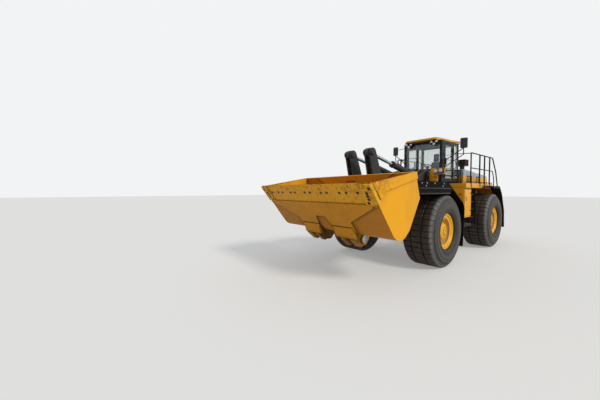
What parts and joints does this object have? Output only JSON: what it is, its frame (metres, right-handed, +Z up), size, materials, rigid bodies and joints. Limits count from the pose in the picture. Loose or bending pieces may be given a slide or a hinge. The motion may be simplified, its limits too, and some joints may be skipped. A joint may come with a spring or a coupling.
{
  "type": "large articulated wheel loader",
  "caption": "Large articulated wheel loader with a raised-back bucket on a Z-bar linkage, glazed cab, railed decks, rear engine hood and rock tyres.",
  "frame": {"origin": "on the ground under the middle of the overall length and width", "axes": "+X forward towards the bucket, +Y to the machine's left, +Z up"},
  "size_m": [13.5115, 4.81, 5.2299],
  "materials": {
    "yellow_paint": "satin",
    "black_paint": "satin",
    "grey_paint": "satin",
    "worn_steel": "worn",
    "chrome_rod": "polished",
    "tyre_rubber": "matte",
    "glass": "clear",
    "seat_fabric": "woven",
    "console_plastic": "matte",
    "lamp": "gloss",
    "cast_engine": "rough"
  },
  "bodies": {
    "rear_frame": {"rear_frame": "black_paint", "steer_brackets": "black_paint", "rear_axle": "black_paint", "counterweight": "black_paint", "engine": "cast_engine", "engine_hood": "yellow_paint", "radiator_grille": "black_paint", "intake_stacks": "black_paint", "cab_frame": "grey_paint", "cab_roof": "yellow_paint", "cab_windows": "glass", "seat_base": "console_plastic", "seat_cushions": "seat_fabric", "cab_console": "console_plastic", "cab_lamps": "lamp", "mirrors": "black_paint", "decks": "yellow_paint", "handrails": "black_paint", "ladders": "black_paint", "cabinets": "yellow_paint", "rear_fenders": "black_paint"},
    "cab_door_left": {"cab_door": "grey_paint", "cab_door_glass": "glass"},
    "front_frame": {"front_frame": "black_paint", "front_axle": "black_paint", "front_fenders": "black_paint", "head_lamps": "yellow_paint"},
    "lift_arms": {"lift_arms": "black_paint"},
    "bellcranks": {"bellcranks": "black_paint"},
    "bucket_links": {"bucket_links": "black_paint"},
    "bucket": {"bucket_shell": "yellow_paint", "bucket_edge": "worn_steel"},
    "tilt_barrels": {"tilt_barrels": "black_paint"},
    "tilt_rods": {"tilt_rods": "chrome_rod"},
    "lift_barrels": {"lift_barrels": "black_paint"},
    "lift_rods": {"lift_rods": "chrome_rod"},
    "steer_barrel_left": {"steer_barrel_left": "black_paint"},
    "steer_rod_left": {"steer_rod_left": "chrome_rod"},
    "steer_barrel_right": {"steer_barrel_right": "black_paint"},
    "steer_rod_right": {"steer_rod_right": "chrome_rod"},
    "wheel_front_left": {"tyre_front_left": "tyre_rubber", "rim_front_left": "yellow_paint"},
    "wheel_front_right": {"tyre_front_right": "tyre_rubber", "rim_front_right": "yellow_paint"},
    "wheel_rear_left": {"tyre_rear_left": "tyre_rubber", "rim_rear_left": "yellow_paint"},
    "wheel_rear_right": {"tyre_rear_right": "tyre_rubber", "rim_rear_right": "yellow_paint"}
  },
  "joints": [
    {"name": "steering", "type": "hinge", "parent": "rear_frame", "child": "front_frame", "pos_m": [-0.79051, 0, 1.475], "axis": [0, 0, 1], "range_deg": [-40, 40]},
    {"name": "lift", "type": "hinge", "parent": "front_frame", "child": "lift_arms", "pos_m": [0.45949, 0, 3.35], "axis": [0, -1, 0], "range_deg": [-13, 66.7]},
    {"name": "bucket_tilt", "type": "hinge", "parent": "lift_arms", "child": "bucket", "pos_m": [5.10949, 0, 1.23], "axis": [0, 1, 0], "range_deg": [0, 163]},
    {"name": "bellcrank_swing", "type": "hinge", "parent": "lift_arms", "child": "bellcranks", "pos_m": [3.55949, 0, 2.7], "axis": [0, -1, 0], "range_deg": [-0.01, 39.13]},
    {"name": "link_swing", "type": "hinge", "parent": "bucket", "child": "bucket_links", "pos_m": [4.82108, 0, 1.48582], "axis": [0, -1, 0], "range_deg": [-0.01, 132.28]},
    {"name": "tilt_barrel_swing", "type": "hinge", "parent": "front_frame", "child": "tilt_barrels", "pos_m": [0.54949, 0, 3.31], "axis": [0, -1, 0], "range_deg": [-13.62, 69.83]},
    {"name": "tilt_rod_slide", "type": "slide", "parent": "tilt_barrels", "child": "tilt_rods", "axis": [0.9766, 0, 0.2152], "range_m": [-0.95719, 0.0001]},
    {"name": "lift_barrel_swing", "type": "hinge", "parent": "front_frame", "child": "lift_barrels", "pos_m": [-0.41051, 0, 1.6], "axis": [0, -1, 0], "range_deg": [-5.86, 30.02]},
    {"name": "lift_rod_slide", "type": "slide", "parent": "lift_barrels", "child": "lift_rods", "axis": [0.9643, 0, 0.2648], "range_m": [-0.24176, 1.24002]},
    {"name": "steer_barrel_left_swing", "type": "hinge", "parent": "rear_frame", "child": "steer_barrel_left", "pos_m": [-2.54051, 0.58, 1.24], "axis": [0, 0, 1], "range_deg": [-5.29, 5.29]},
    {"name": "steer_rod_left_slide", "type": "slide", "parent": "steer_barrel_left", "child": "steer_rod_left", "axis": [0.9969, 0.079, 0], "range_m": [-0.47501, 0.47501]},
    {"name": "steer_barrel_right_swing", "type": "hinge", "parent": "rear_frame", "child": "steer_barrel_right", "pos_m": [-2.54051, -0.58, 1.24], "axis": [0, 0, 1], "range_deg": [-5.29, 5.29]},
    {"name": "steer_rod_right_slide", "type": "slide", "parent": "steer_barrel_right", "child": "steer_rod_right", "axis": [0.9969, -0.079, 0], "range_m": [-0.47501, 0.47501]},
    {"name": "cab_door_hinge", "type": "hinge", "parent": "rear_frame", "child": "cab_door_left", "pos_m": [-1.89851, 0.938, 4], "axis": [0, 0, 1], "range_deg": [0, 60]},
    {"name": "wheel_front_left_spin", "type": "hinge", "parent": "front_frame", "child": "wheel_front_left", "pos_m": [1.93449, 1.7, 1.3], "axis": [0, 1, 0], "continuous": true},
    {"name": "wheel_front_right_spin", "type": "hinge", "parent": "front_frame", "child": "wheel_front_right", "pos_m": [1.93449, -1.7, 1.3], "axis": [0, 1, 0], "continuous": true},
    {"name": "wheel_rear_left_spin", "type": "hinge", "parent": "rear_frame", "child": "wheel_rear_left", "pos_m": [-3.51551, 1.7, 1.3], "axis": [0, 1, 0], "continuous": true},
    {"name": "wheel_rear_right_spin", "type": "hinge", "parent": "rear_frame", "child": "wheel_rear_right", "pos_m": [-3.51551, -1.7, 1.3], "axis": [0, 1, 0], "continuous": true}
  ],
  "couplings": [
    {"joint": "bellcrank_swing", "follows": "bucket_tilt", "ratio": 0.24},
    {"joint": "link_swing", "follows": "bucket_tilt", "ratio": 0.8115},
    {"joint": "tilt_barrel_swing", "follows": "lift", "ratio": 1.0468},
    {"joint": "tilt_rod_slide", "follows": "bucket_tilt", "m_per_rad": -0.33642},
    {"joint": "lift_barrel_swing", "follows": "lift", "ratio": 0.44986},
    {"joint": "lift_rod_slide", "follows": "lift", "m_per_rad": 1.0651},
    {"joint": "steer_barrel_left_swing", "follows": "steering", "ratio": 0.13213},
    {"joint": "steer_rod_left_slide", "follows": "steering", "m_per_rad": -0.68026},
    {"joint": "steer_barrel_right_swing", "follows": "steering", "ratio": 0.13213},
    {"joint": "steer_rod_right_slide", "follows": "steering", "m_per_rad": 0.68026}
  ]
}
